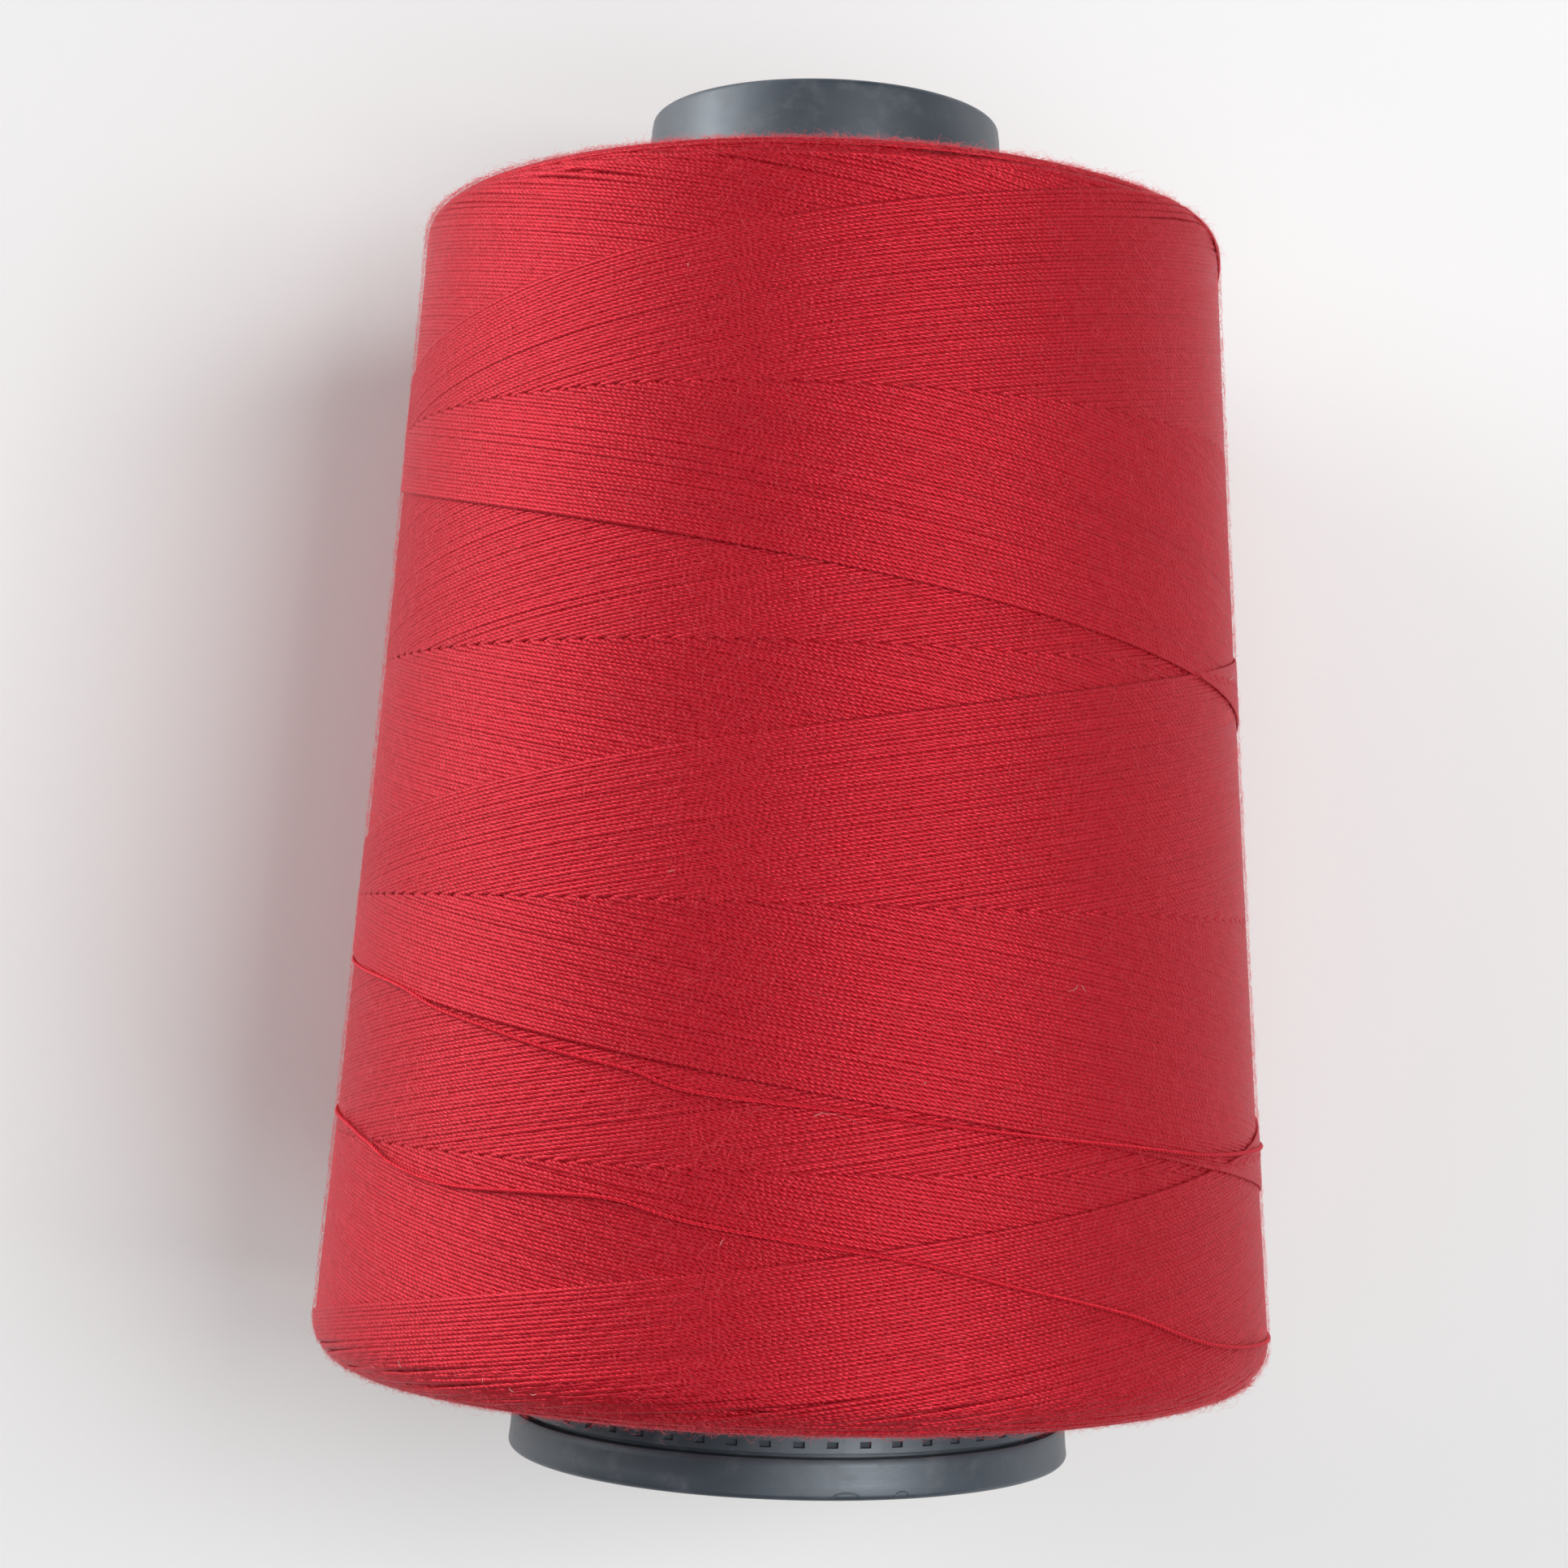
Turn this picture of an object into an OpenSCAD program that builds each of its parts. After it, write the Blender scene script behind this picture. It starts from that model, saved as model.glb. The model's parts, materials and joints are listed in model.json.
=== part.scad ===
// Cone of sewing thread: a hollow moulded cone core, the thread wound on it, and the thread's
// last turns, which lie loose over the winding. Millimetres, +Z along the core from base to nose,
// origin at the centre of the base rim.

/* [Core] */
// Height of the core from base rim to nose rim
core_h = 115; // [110:1:125]
// Outer diameter of the core's wall, carried down to the base plane
core_base_d = 47.8; // [46:0.2:50]
// Half angle of the core's taper, in degrees
core_taper = 4.33; // [3.5:0.01:4.5]
// Wall thickness of the core, measured level
core_wall = 1.7; // [1.5:0.1:1.9]
// Bore diameter at the nose
nose_bore_d = 26; // [24:0.2:26.4]
// Height of the straight bore at the nose
nose_bore_h = 5; // [3:0.5:8]
// Bore diameter at the base
base_bore_d = 43.4; // [42:0.2:43.6]
// Height of the straight bore at the base
base_bore_h = 6; // [5:0.5:10]

/* [Base rim] */
// Height of the thread groove's lower edge above the base
groove_z = 3.2; // [2.8:0.1:3.3]
// Width of the thread groove
groove_w = 0.4; // [0.3:0.05:0.5]
// Depth of the thread groove
groove_depth = 0.9; // [0.5:0.1:1]
// Number of small recesses round the base
recess_count = 56; // [24:2:60]
// Width of each recess
recess_w = 0.9; // [0.6:0.1:1.2]
// Height of each recess
recess_h = 0.5; // [0.4:0.05:0.6]
// Depth of each recess
recess_depth = 0.25; // [0.15:0.05:0.4]
// Height of the recesses' middle above the base
recess_z = 4.3; // [4.2:0.1:6]
// How far the ring of recesses is turned from the front, in degrees
recess_turn = 1.8; // [0:0.1:6.4]

/* [Thread package] */
// Height of the package's lower face above the base
package_z = 7.4; // [7:0.1:12]
// Length of the package along the core
package_h = 97.6; // [92:0.2:98]
// Diameter at the lower edge, before it is rounded
package_base_d = 82.1; // [76:0.1:84]
// Diameter at the upper edge, before it is rounded
package_top_d = 69; // [62:0.5:70]
// How far the sides pull in at mid height
waist = 0.25; // [0:0.05:1]
// Radius of the lower shoulder
lower_shoulder_r = 3.5; // [2:0.1:5]
// Radius of the upper shoulder
upper_shoulder_r = 1.8; // [1:0.1:4]
// Rise of the upper face from its shoulder to the core
upper_face_rise = 0.6; // [0:0.1:1]

/* [Loose wrap] */
// Thread diameter
thread_d = 0.3; // [0.2:0.05:0.5]
// Gap between the loose turns and the package
wrap_gap = 0.12; // [0.1:0.01:0.3]

/* [Hidden] */
$fn = 180;

core_colour = [0.27, 0.30, 0.34];
thread_colour = [0.74, 0.10, 0.16];

rim_r = 0.5;
chamfer = 0.5;
package_top_z = package_z + package_h;

// Radius of the core's outer wall at height z.
function core_r(z) = core_base_d / 2 - z * tan(core_taper);

// Points of an arc about centre c, from angle a0 to a1 in n steps.
function arc(c, r, a0, a1, n) =
    [for (i = [0:n]) let (a = a0 + (a1 - a0) * i / n) c + r * [cos(a), sin(a)]];

// Radius of the package's side at height z, before the shoulders are rounded.
function side_r(z) =
    let (t = (z - package_z) / package_h)
    package_base_d / 2 + (package_top_d - package_base_d) / 2 * t - waist * 4 * t * (1 - t);

// How fast the side's radius falls with height, at the two edges.
mean_slope = (package_base_d - package_top_d) / 2 / package_h;
lower_slope = mean_slope + 4 * waist / package_h;
upper_slope = mean_slope - 4 * waist / package_h;

// Centres of the two rounded shoulders, as [radius, height].
function shoulder_inset(r, slope) = r * (sqrt(1 + slope * slope) + slope);
lower_centre = [package_base_d / 2 - shoulder_inset(lower_shoulder_r, lower_slope),
                package_z + lower_shoulder_r];
upper_centre = [package_top_d / 2 - shoulder_inset(upper_shoulder_r, -upper_slope),
                package_top_z - upper_shoulder_r];

side_steps = 12;
side_z0 = lower_centre[1] + lower_shoulder_r * sin(atan(lower_slope));
side_z1 = upper_centre[1] + upper_shoulder_r * sin(atan(upper_slope));

// Radius of the package's outside at height z, with the lower shoulder.
function package_r(z) =
    z < side_z0
        ? lower_centre[0] + sqrt(max(0, pow(lower_shoulder_r, 2) - pow(lower_centre[1] - z, 2)))
        : side_r(z);

// Half section of the core, as [radius, height], outside from base to nose and back down inside.
core_section = concat(
    [[base_bore_d / 2 + chamfer, 0]],
    arc([core_r(0) - rim_r, rim_r], rim_r, -90, 0, 4),
    [[core_r(groove_z), groove_z],
     [core_r(groove_z) - groove_depth, groove_z],
     [core_r(groove_z) - groove_depth, groove_z + groove_w],
     [core_r(groove_z + groove_w), groove_z + groove_w]],
    arc([core_r(core_h) - rim_r, core_h - rim_r], rim_r, 0, 90, 4),
    [[nose_bore_d / 2 + chamfer, core_h],
     [nose_bore_d / 2, core_h - chamfer],
     [nose_bore_d / 2, core_h - chamfer - nose_bore_h],
     [core_r(core_h - 2 * nose_bore_h) - core_wall, core_h - 2 * nose_bore_h],
     [core_r(2 * base_bore_h) - core_wall, 2 * base_bore_h],
     [base_bore_d / 2, base_bore_h + chamfer],
     [base_bore_d / 2, chamfer]]);

// Half section of the thread package.
package_section = concat(
    [[core_r(package_z), package_z]],
    arc(lower_centre, lower_shoulder_r, -90, atan(lower_slope), 8),
    [for (i = [1:side_steps - 1])
        let (z = side_z0 + (side_z1 - side_z0) * i / side_steps) [side_r(z), z]],
    arc(upper_centre, upper_shoulder_r, atan(upper_slope), 90, 6),
    [[core_r(package_top_z + upper_face_rise), package_top_z + upper_face_rise]]);

// Route of the loose turns, as [angle round the cone from -Y towards +X, height].
wrap_route = [
    [-110, 43], [-90, 41.5], [-69, 40.2], [-56, 39.1], [-47, 37.5], [-39, 36.4],
    [-29, 34.9], [-19, 33.7], [-12, 32.3], [5, 31.2], [24, 29.7], [39, 28.7],
    [56, 27.6], [81, 27.4], [120, 27.5], [160, 27.9], [200, 28.4], [240, 28.6],
    [284, 28], [299, 26.7], [307, 25.2], [318, 24.2], [331, 24.3], [340, 24.2],
    [349, 22.8], [370, 20.7], [384, 18.5], [398, 16.2], [414, 13], [436, 11.6],
    [470, 11.2], [510, 10.9], [550, 10.7]];
wrap_sides = 8;
rings_per_step = 2.4;
wrap_rings = floor(rings_per_step * (len(wrap_route) - 1));

// Catmull-Rom curve through p1 and p2, with neighbours p0 and p3.
function spline(p0, p1, p2, p3, t) =
    0.5 * (2 * p1 + (p2 - p0) * t + (2 * p0 - 5 * p1 + 4 * p2 - p3) * t * t
           + (3 * p1 - p0 - 3 * p2 + p3) * t * t * t);

// [angle, height] of the loose turns at s, from 0 to 1 along the route.
function wrap_at(s) =
    let (last = len(wrap_route) - 1,
         i = min(floor(s * last), last - 1),
         p0 = wrap_route[max(i - 1, 0)],
         p3 = wrap_route[min(i + 2, last)])
    spline(p0, wrap_route[i], wrap_route[i + 1], p3, s * last - i);

// Centre of the strand at s.
function wrap_centre(s) =
    let (q = wrap_at(s), r = package_r(q[1]) + wrap_gap + thread_d / 2)
    [r * sin(q[0]), -r * cos(q[0]), q[1]];

function unit(v) = v / norm(v);

// One ring of the strand: points about its centre, square to its run.
function wrap_ring(s) =
    let (c = wrap_centre(s),
         step = 0.25 / wrap_rings,
         along = unit(wrap_centre(min(s + step, 1)) - wrap_centre(max(s - step, 0))),
         out = unit([c[0], c[1], 0]),
         side = unit(cross(along, out)),
         up = cross(side, along))
    [for (k = [0:wrap_sides - 1])
        c + thread_d / 2 * (up * cos(360 * k / wrap_sides) + side * sin(360 * k / wrap_sides))];

module cone_core() {
    color(core_colour)
    difference() {
        rotate_extrude() polygon(core_section);
        for (i = [0:recess_count - 1])
            rotate([0, 0, recess_turn + 360 * i / recess_count])
            translate([core_r(recess_z) - recess_depth, -recess_w / 2, recess_z - recess_h / 2])
            cube([2 * recess_depth, recess_w, recess_h]);
    }
}

module thread_package() {
    color(thread_colour)
    rotate_extrude() polygon(package_section);
}

module loose_wrap() {
    points = [for (i = [0:wrap_rings]) each wrap_ring(i / wrap_rings)];
    last = wrap_rings * wrap_sides;
    sides = [for (i = [0:wrap_rings - 1], k = [0:wrap_sides - 1])
        let (a = i * wrap_sides, b = (k + 1) % wrap_sides)
        [a + k, a + b, a + wrap_sides + b, a + wrap_sides + k]];
    ends = [[for (k = [wrap_sides - 1:-1:0]) k], [for (k = [0:wrap_sides - 1]) last + k]];
    color(thread_colour)
    polyhedron(points, concat(sides, ends));
}

cone_core();
thread_package();
loose_wrap();
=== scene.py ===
"""A cone of red sewing thread: the moulded core, one long thread laid on it in crossing turns, and
its last slack turns. Lengths are in millimetres and become metres as each mesh is made. Angles
round the cone start at the front, -Y, and grow towards +X. The run s of a point on the package is
measured along its outline, from where the thread turns back at the base towards the nose."""

import json
import math

import bpy
import numpy as np
from mathutils import Matrix, Vector


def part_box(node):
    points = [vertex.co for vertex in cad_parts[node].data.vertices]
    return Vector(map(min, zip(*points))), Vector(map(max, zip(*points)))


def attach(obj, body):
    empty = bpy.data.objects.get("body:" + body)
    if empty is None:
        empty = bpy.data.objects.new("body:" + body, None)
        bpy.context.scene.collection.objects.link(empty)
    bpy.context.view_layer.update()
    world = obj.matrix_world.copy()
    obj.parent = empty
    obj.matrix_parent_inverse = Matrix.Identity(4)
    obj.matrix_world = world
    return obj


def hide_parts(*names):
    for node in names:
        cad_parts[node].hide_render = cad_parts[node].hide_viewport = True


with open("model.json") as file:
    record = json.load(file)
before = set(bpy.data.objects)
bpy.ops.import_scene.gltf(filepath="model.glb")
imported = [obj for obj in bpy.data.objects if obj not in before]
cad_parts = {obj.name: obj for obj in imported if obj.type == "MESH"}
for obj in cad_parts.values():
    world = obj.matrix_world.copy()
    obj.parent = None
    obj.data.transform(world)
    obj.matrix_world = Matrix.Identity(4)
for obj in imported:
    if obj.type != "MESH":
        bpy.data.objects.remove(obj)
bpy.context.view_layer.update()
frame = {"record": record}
rng = np.random.default_rng(7)

MM = 0.001
TURN = 2 * math.pi

# ---------------------------------------------------------------- sizes, in mm

mounts = {m["name"]: m for m in frame["record"]["mounts"]}
core_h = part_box("cone_core")[1].z / MM
nose_bore_r = mounts["nose_bore"]["dims"]["r_mm"]
nose_bore_h = mounts["nose_bore"]["dims"]["length_mm"]
base_bore_r = mounts["base_bore"]["dims"]["r_mm"]
base_bore_h = mounts["base_bore"]["dims"]["length_mm"]
core_base_r = 23.9
core_slope = math.tan(math.radians(4.33))
core_wall = 1.7
rim_r = 0.5
chamfer = 0.5
groove_z, groove_w, groove_depth = 3.2, 0.4, 0.9
recess_count, recess_z, recess_w, recess_h, recess_depth = 56, 4.3, 0.9, 0.5, 0.25
recess_turn = 1.8  # degrees from the front to the first recess

package_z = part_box("thread_package")[0].z / MM
package_h = 97.6
package_top_z = package_z + package_h
package_base_r = 41.05
package_top_r = 34.5
waist = 0.25
lower_shoulder_r = 3.5
upper_shoulder_r = 1.8
upper_face_rise = 0.6

package_mean_r = 38.0

# How the thread is laid: it climbs one pitch a turn, and goes up and back in five turns, less the
# creep that puts each cycle beside the one before.
pitch = 39.38
turns_up = 2.5
traverse = turns_up * pitch
cycles = 126
creep = 1 / cycles
start_turn = 2 / 3
shoulder_start = 4.25

# A laid turn is pressed flat. Its middle lies laid_h lower for each turn that crosses over it.
laid_w, laid_h = 0.53, 0.24
proud = 0.08
end_zone = 2.5
bed_depth = 0.9

# The near-round turns of the two faces: the step from row to row, and how deep they go where the
# laid turns cover them.
face_step = 0.3
under_depth = 0.31

# The loose turns: their thickness, the lay of their plies, and how they lie on the laid turns.
thread_d = 0.3
strand_d = 0.36
twist_lay = 1.5
wrap_lift = 0.11
limb_sink = 0.26


def core_r(z):
    return core_base_r - np.asarray(z) * core_slope


# ---------------------------------------------------------------- camera


def add_camera():
    """The camera looks level at the lying cone, a little up its length, and leans with it."""
    pitch_up, lean = 0.0528, 0.0298
    ahead = Vector((0, math.cos(pitch_up), math.sin(pitch_up)))
    up = Vector((0, -math.sin(pitch_up), math.cos(pitch_up)))
    side = Vector((1, 0, 0))
    right = math.cos(lean) * side + math.sin(lean) * up
    top = -math.sin(lean) * side + math.cos(lean) * up
    data = bpy.data.cameras.new("camera")
    data.lens, data.sensor_width = 65.45, 36
    data.clip_start, data.clip_end = 0.02, 20
    camera = bpy.data.objects.new("camera", data)
    turn = Matrix((right, top, -ahead)).transposed()
    camera.matrix_world = Matrix.Translation((-0.00196, -0.248, 0.04394)) @ turn.to_4x4()
    bpy.context.scene.collection.objects.link(camera)
    bpy.context.scene.camera = camera


add_camera()

# ---------------------------------------------------------------- mesh tools


def mesh_piece(name, points, faces, material, uv=None, tone=None):
    """A smooth mesh from points in mm and arrays of equal-sided faces; uv and tone are per corner
    and per point."""
    mesh = bpy.data.meshes.new(name)
    points = np.asarray(points, np.float32).reshape(-1, 3) * MM
    corners = np.concatenate([f.ravel() for f in faces]).astype(np.int32)
    sizes = np.concatenate([np.full(len(f), f.shape[1]) for f in faces])
    starts = np.concatenate([[0], np.cumsum(sizes)[:-1]]).astype(np.int32)
    mesh.vertices.add(len(points))
    mesh.vertices.foreach_set("co", points.ravel())
    mesh.loops.add(len(corners))
    mesh.loops.foreach_set("vertex_index", corners)
    mesh.polygons.add(len(sizes))
    mesh.polygons.foreach_set("loop_start", starts)
    mesh.polygons.foreach_set("use_smooth", np.ones(len(sizes), bool))
    if uv is not None:
        layer = mesh.uv_layers.new(name="run")
        layer.data.foreach_set("uv", np.asarray(uv, np.float32).ravel())
    if tone is not None:
        attribute = mesh.attributes.new("tone", "FLOAT", "POINT")
        attribute.data.foreach_set("value", np.asarray(tone, np.float32).ravel())
    mesh.update(calc_edges=True)
    mesh.materials.append(material)
    piece = bpy.data.objects.new(name, mesh)
    bpy.context.scene.collection.objects.link(piece)
    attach(piece, "root")
    return piece


def unit(v):
    return v / np.maximum(np.linalg.norm(v, axis=-1, keepdims=True), 1e-12)


def sweep(centres, out, half_w, half_h, sides):
    """Rings of an oval tube along centres; out is the way up of each ring. Gives points, faces
    and the run and way round of each corner."""
    along = unit(np.gradient(centres, axis=0))
    across = unit(np.cross(out, along))
    out = np.cross(along, across)
    angle = TURN * np.arange(sides) / sides
    points = (
        centres[:, None]
        + out[:, None] * (half_h * np.cos(angle))[:, None]
        + across[:, None] * (half_w * np.sin(angle))[:, None]
    )
    n = len(centres)
    i, k = np.meshgrid(np.arange(n - 1), np.arange(sides), indexing="ij")
    a, b = i * sides + k, i * sides + (k + 1) % sides
    quads = np.stack([a, a + sides, b + sides, b], -1).reshape(-1, 4)
    caps = np.stack([np.arange(sides), (n - 1) * sides + np.arange(sides)[::-1]])
    run = np.concatenate([[0], np.cumsum(np.linalg.norm(np.diff(centres, axis=0), axis=1))])
    u = np.stack([run[i], run[i + 1], run[i + 1], run[i]], -1).reshape(-1, 4)
    v = np.stack([k, k, k + 1, k + 1], -1).reshape(-1, 4) / sides
    uv = np.concatenate([np.stack([u, v], -1).reshape(-1, 2), np.zeros((2 * sides, 2))])
    return points.reshape(-1, 3), quads, caps, uv


def lathe(section, columns, first=0.0):
    """A closed solid of revolution from a closed (radius, height) section, counter-clockwise, with
    its first column at the angle first, in radians."""
    angle = TURN * np.arange(columns) / columns + first
    r, z = section[:, 0], section[:, 1]
    points = np.stack(
        [r * np.sin(angle)[:, None], -r * np.cos(angle)[:, None], z + 0 * angle[:, None]], -1
    )
    i, k = np.meshgrid(np.arange(columns), np.arange(len(section)), indexing="ij")
    j, m = (i + 1) % columns, (k + 1) % len(section)
    n = len(section)
    quads = np.stack([i * n + k, j * n + k, j * n + m, i * n + m], -1).reshape(-1, 4)
    return points.reshape(-1, 3), quads


def wander(count, step, size):
    """A smooth random line of count values that turns about every step values."""
    knots = rng.normal(0, size, int(count / step) + 3)
    x = np.arange(count) / step
    i = x.astype(int)
    t = x - i
    t = t * t * (3 - 2 * t)
    return knots[i] * (1 - t) + knots[i + 1] * t


def smooth(t):
    """An even step from 0 to 1."""
    t = np.clip(t, 0, 1)
    return t * t * (3 - 2 * t)


# ---------------------------------------------------------------- the package's outline


def arc(centre, r, a0, a1, steps):
    """Points of an arc in the (radius, height) plane, from a0 to a1 degrees."""
    a = np.radians(np.linspace(a0, a1, steps))
    return np.stack([centre[0] + r * np.cos(a), centre[1] + r * np.sin(a)], -1)


def side_r(z):
    """The package's radius at a height, with its slight waist."""
    t = (z - package_z) / package_h
    return package_base_r + (package_top_r - package_base_r) * t - waist * 4 * t * (1 - t)


def shoulder_centre(edge_r, r, slope, z):
    """The middle of a shoulder of radius r that runs into a side of this slope."""
    return np.array([edge_r - r * (math.sqrt(1 + slope * slope) + slope), z])


mean_slope = (package_base_r - package_top_r) / package_h
lower_slope = mean_slope + 4 * waist / package_h
upper_slope = mean_slope - 4 * waist / package_h
lower_centre = shoulder_centre(
    package_base_r, lower_shoulder_r, lower_slope, package_z + lower_shoulder_r
)
upper_centre = shoulder_centre(
    package_top_r, upper_shoulder_r, -upper_slope, package_top_z - upper_shoulder_r
)


def package_outline():
    """The outline from the core along the lower face, up the side and back along the upper face.
    Gives its run, points and outward normals; the run is 0 where the thread turns back at the
    base."""
    lower_turn = math.degrees(math.atan(lower_slope))
    upper_turn = math.degrees(math.atan(upper_slope))
    lower = arc(lower_centre, lower_shoulder_r, -90, lower_turn, 60)
    upper = arc(upper_centre, upper_shoulder_r, upper_turn, 90, 40)
    heights = np.linspace(lower[-1, 1], upper[0, 1], 400)[1:-1]
    side = np.stack([side_r(heights), heights], -1)
    base_r = np.linspace(float(core_r(package_z)), lower[0, 0], 60)[:-1]
    base = np.stack([base_r, np.full(len(base_r), package_z)], -1)
    nose_z = package_top_z + upper_face_rise
    t = np.linspace(0, 1, 60)[1:, None]
    nose = upper[-1] * (1 - t) + np.array([float(core_r(nose_z)), nose_z]) * t
    line = np.concatenate([base, lower, side, upper, nose])
    run = np.concatenate([[0], np.cumsum(np.linalg.norm(np.diff(line, axis=0), axis=1))])
    run -= run[len(base) + len(lower) - 1] - shoulder_start
    along = unit(np.gradient(line, axis=0))
    normal = np.stack([along[:, 1], -along[:, 0]], -1)
    return run, line, normal


outline_run, outline, outline_normal = package_outline()


def on_package(s, degrees, depth):
    """Points and outward directions at run s and an angle round the cone, depth below the
    package's surface."""
    r = np.interp(s, outline_run, outline[:, 0])
    z = np.interp(s, outline_run, outline[:, 1])
    nr = np.interp(s, outline_run, outline_normal[:, 0])
    nz = np.interp(s, outline_run, outline_normal[:, 1])
    r, z = r - nr * depth, z - nz * depth
    a = np.radians(degrees)
    points = np.stack([r * np.sin(a), -r * np.cos(a), z], -1)
    out = unit(np.stack([nr * np.sin(a), -nr * np.cos(a), nz], -1))
    return points, out


# ---------------------------------------------------------------- materials


class Nodes:
    """A short way to write a material's nodes."""

    def __init__(self, name):
        self.material = bpy.data.materials.new(name)
        self.material.use_nodes = True
        self.tree = self.material.node_tree
        self.tree.nodes.clear()
        self.shader = self.add("ShaderNodeBsdfPrincipled")
        out = self.add("ShaderNodeOutputMaterial")
        self.tree.links.new(self.shader.outputs[0], out.inputs["Surface"])

    def add(self, kind, inputs=(), **settings):
        node = self.tree.nodes.new(kind)
        for key, value in settings.items():
            setattr(node, key, value)
        for key, value in dict(inputs).items():
            self.put(node.inputs[key], value)
        return node

    def put(self, socket, value):
        if isinstance(value, bpy.types.NodeSocket):
            self.tree.links.new(value, socket)
        else:
            socket.default_value = value

    def math(self, operation, *values):
        node = self.add("ShaderNodeMath", operation=operation)
        for socket, value in zip(node.inputs, values):
            self.put(socket, value)
        return node.outputs[0]

    def mix(self, share, a, b):
        node = self.add("ShaderNodeMix", data_type="RGBA")
        for socket, value in zip((node.inputs[0], node.inputs[6], node.inputs[7]), (share, a, b)):
            self.put(socket, value)
        return node.outputs[2]

    def noise(self, vector, scale, detail=2.0, roughness=0.5):
        inputs = {"Vector": vector, "Scale": scale, "Detail": detail, "Roughness": roughness}
        return self.add("ShaderNodeTexNoise", inputs).outputs[0]

    def spread(self, value, low, high, to_low=0.0, to_high=1.0):
        inputs = {0: value, 1: low, 2: high, 3: to_low, 4: to_high}
        return self.add("ShaderNodeMapRange", inputs).outputs[0]

    def vector(self, x, y, z=0.0):
        return self.add("ShaderNodeCombineXYZ", {0: x, 1: y, 2: z}).outputs[0]

    def run(self):
        """The run along a piece in mm and the way round it, from its own map."""
        uv = self.add("ShaderNodeUVMap", uv_map="run").outputs[0]
        parts = self.add("ShaderNodeSeparateXYZ", {0: uv})
        return parts.outputs[0], parts.outputs[1]

    def bump(self, height, distance, strength=1.0):
        inputs = {"Height": height, "Distance": distance * MM, "Strength": strength}
        self.put(self.shader.inputs["Normal"], self.add("ShaderNodeBump", inputs).outputs[0])

    def set(self, **values):
        for key, value in values.items():
            self.put(self.shader.inputs[key.replace("_", " ")], value)


def rgb(r, g, b):
    return (r, g, b, 1)


def loose_fibres(m):
    """How much of a stray fibre lies here, from 0 to 1: fine wavy lines in three bearings, which
    are the contour lines of a noise that is stretched along each."""
    place = m.add("ShaderNodeTexCoord").outputs["Object"]
    x, y, z = m.add("ShaderNodeSeparateXYZ", {0: place}).outputs
    away = m.math("MULTIPLY", m.math("ARCTAN2", x, m.math("MULTIPLY", y, -1.0)), package_mean_r)
    up = m.math("DIVIDE", z, MM)
    lines = []
    fineness, thin, thick = 4.5, 0.014, 0.05
    for bearing, stretch in ((12, 0.7), (-34, 1.0), (57, 1.1)):
        c, s = math.cos(math.radians(bearing)), math.sin(math.radians(bearing))
        along = m.math("ADD", m.math("MULTIPLY", away, c), m.math("MULTIPLY", up, s))
        across = m.math("ADD", m.math("MULTIPLY", away, -s), m.math("MULTIPLY", up, c))
        along = m.math("MULTIPLY", along, stretch)
        spot = m.vector(along, m.math("MULTIPLY", across, fineness), bearing)
        off = m.math("ABSOLUTE", m.math("SUBTRACT", m.noise(spot, 1.0, 3.0, 0.6), 0.5))
        lines.append(m.spread(off, thin, thick, 1.0, 0.0))
    return m.math("MAXIMUM", m.math("MAXIMUM", lines[0], lines[1]), lines[2])


def thread_material(name, lay, plies=3, ply_bump=0.034, lift=1.0, fluff=0.0):
    """Spun polyester: plies twisted like the bar of a Z, fine fibres along them and strays over
    them. lay is the length of one twist in mm, lift brightens the dye, which is painted light,
    and fluff is the least share of stray fibres."""
    m = Nodes(name)
    run, way = m.run()
    unevenness = m.noise(m.vector(m.math("MULTIPLY", run, 0.3), 0.0), 1.0)
    twist = m.math("ADD", m.math("DIVIDE", run, lay), m.math("ADD", way, unevenness))
    phase = m.math("FRACT", m.math("MULTIPLY", twist, float(plies)))
    ridge = m.math("SINE", m.math("MULTIPLY", phase, math.pi))
    fibre_place = m.vector(m.math("MULTIPLY", run, 2.2), m.math("MULTIPLY", twist, 14.0))
    fibre = m.noise(fibre_place, 1.0, 2.0, 0.6)
    strays = loose_fibres(m)
    height = m.math("ADD", ridge, m.math("MULTIPLY", fibre, 0.4))
    height = m.math("ADD", height, m.math("MULTIPLY", strays, 0.2))
    m.bump(height, ply_bump)
    tone = m.add("ShaderNodeAttribute", attribute_name="tone").outputs["Fac"]
    # The dye is darker in the grooves between the plies and lighter on their crowns, which is
    # painted shade. The streaks and the tone vary at random, and on the base turns the tone also
    # holds painted shade.
    painted_ply_shade = m.spread(ridge, 0.2, 1.0)
    streak = m.spread(fibre, 0.3, 0.7)
    shade = m.math("ADD", m.math("MULTIPLY", painted_ply_shade, 0.66), m.math("MULTIPLY", streak, 0.34))
    shade = m.math("MULTIPLY", shade, tone)
    # lift scales the dye up: painted light on the loose strand.
    low = rgb(0.22 * lift, 0.001 * lift, 0.003 * lift)
    high = rgb(0.53 * lift, 0.003 * lift, 0.012 * lift)
    stray = rgb(0.57 * lift, 0.019 * lift, 0.037 * lift)
    dye = m.mix(m.spread(strays, 0, 1, fluff, 0.6), m.mix(shade, low, high), stray)
    m.set(Base_Color=dye, Metallic=0.48)
    m.set(Roughness=m.spread(streak, 0, 1, 0.42, 0.30))
    m.set(Specular_IOR_Level=0.75, Specular_Tint=rgb(1, 0.42, 0.50))
    return m.material


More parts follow.
